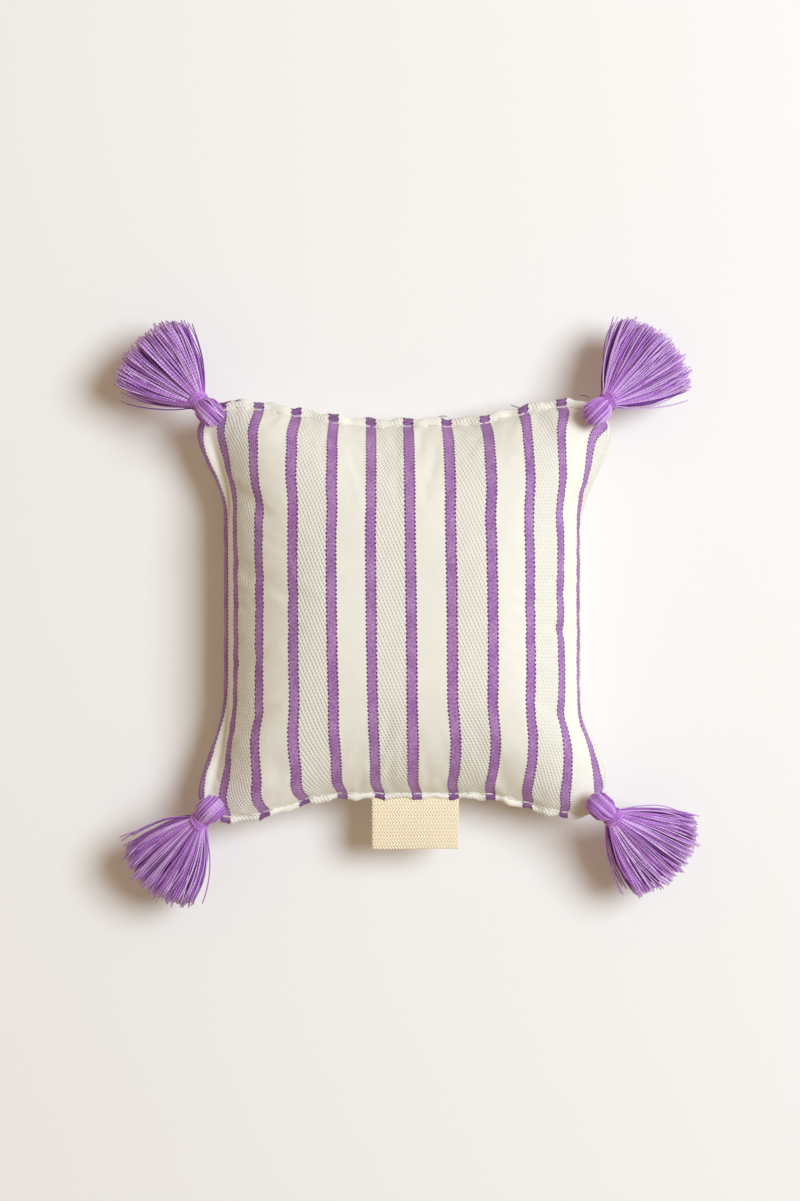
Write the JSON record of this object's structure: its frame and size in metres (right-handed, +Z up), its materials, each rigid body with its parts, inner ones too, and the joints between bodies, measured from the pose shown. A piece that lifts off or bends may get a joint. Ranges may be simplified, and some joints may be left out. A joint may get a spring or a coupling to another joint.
{
  "type": "lavender sachet",
  "caption": "Stuffed striped fabric sachet with stitched hems, a folded tape label in the lower hem and a yarn tassel tied to each corner.",
  "frame": {"origin": "centre of the flat on the underside that the sachet rests on", "axes": "+Z up, out of the front panel; +Y towards the top hem; +X to the right as seen from the front"},
  "size_m": [0.1464, 0.1471, 0.031],
  "materials": {
    "striped_cloth": "woven cotton, cream with purple stripes",
    "dried_lavender": "loose dried flower buds",
    "cream_thread": "matt sewing thread",
    "label_tape": "cotton twill tape",
    "purple_yarn": "soft embroidery yarn with a slight sheen"
  },
  "bodies": {
    "cushion": {"front_panel": "striped_cloth", "back_panel": "striped_cloth", "lavender_fill": "dried_lavender", "top_hem_front_thread": "cream_thread", "top_hem_back_thread": "cream_thread", "bottom_hem_front_thread": "cream_thread", "bottom_hem_back_thread": "cream_thread", "left_seam_thread": "cream_thread", "right_seam_thread": "cream_thread", "label_tail": "label_tape"},
    "label": {"label_flap": "label_tape"},
    "top_left_tie": {"top_left_tassel_tie": "purple_yarn"},
    "top_left_tassel": {"top_left_tassel_yarn": "purple_yarn", "top_left_tassel_binding": "purple_yarn"},
    "top_right_tie": {"top_right_tassel_tie": "purple_yarn"},
    "top_right_tassel": {"top_right_tassel_yarn": "purple_yarn", "top_right_tassel_binding": "purple_yarn"},
    "bottom_left_tie": {"bottom_left_tassel_tie": "purple_yarn"},
    "bottom_left_tassel": {"bottom_left_tassel_yarn": "purple_yarn", "bottom_left_tassel_binding": "purple_yarn"},
    "bottom_right_tie": {"bottom_right_tassel_tie": "purple_yarn"},
    "bottom_right_tassel": {"bottom_right_tassel_yarn": "purple_yarn", "bottom_right_tassel_binding": "purple_yarn"}
  },
  "joints": [
    {"name": "label_flex", "type": "hinge", "parent": "cushion", "child": "label", "pos_m": [0.0033, -0.04915, 0.014], "axis": [1, 0, 0], "range_deg": [-80, 80], "stiffness_Nm_per_rad": 0.0001},
    {"name": "top_left_sway", "type": "hinge", "parent": "cushion", "child": "top_left_tie", "pos_m": [-0.0473, 0.0477, 0.0197], "axis": [0, 0, 1], "range_deg": [-35, 35]},
    {"name": "top_left_tilt", "type": "hinge", "parent": "top_left_tie", "child": "top_left_tassel", "pos_m": [-0.0473, 0.0477, 0.0197], "axis": [0.7193, 0.6947, 0], "range_deg": [-18, 80]},
    {"name": "top_right_sway", "type": "hinge", "parent": "cushion", "child": "top_right_tie", "pos_m": [0.0473, 0.0477, 0.0197], "axis": [0, 0, 1], "range_deg": [-35, 35]},
    {"name": "top_right_tilt", "type": "hinge", "parent": "top_right_tie", "child": "top_right_tassel", "pos_m": [0.0473, 0.0477, 0.0197], "axis": [0.6947, -0.7193, 0], "range_deg": [-18, 80]},
    {"name": "bottom_left_sway", "type": "hinge", "parent": "cushion", "child": "bottom_left_tie", "pos_m": [-0.0473, -0.0477, 0.0197], "axis": [0, 0, 1], "range_deg": [-35, 35]},
    {"name": "bottom_left_tilt", "type": "hinge", "parent": "bottom_left_tie", "child": "bottom_left_tassel", "pos_m": [-0.0473, -0.0477, 0.0197], "axis": [-0.7431, 0.6691, 0], "range_deg": [-18, 80]},
    {"name": "bottom_right_sway", "type": "hinge", "parent": "cushion", "child": "bottom_right_tie", "pos_m": [0.0473, -0.0477, 0.0197], "axis": [0, 0, 1], "range_deg": [-35, 35]},
    {"name": "bottom_right_tilt", "type": "hinge", "parent": "bottom_right_tie", "child": "bottom_right_tassel", "pos_m": [0.0473, -0.0477, 0.0197], "axis": [-0.6626, -0.749, 0], "range_deg": [-18, 80]}
  ]
}
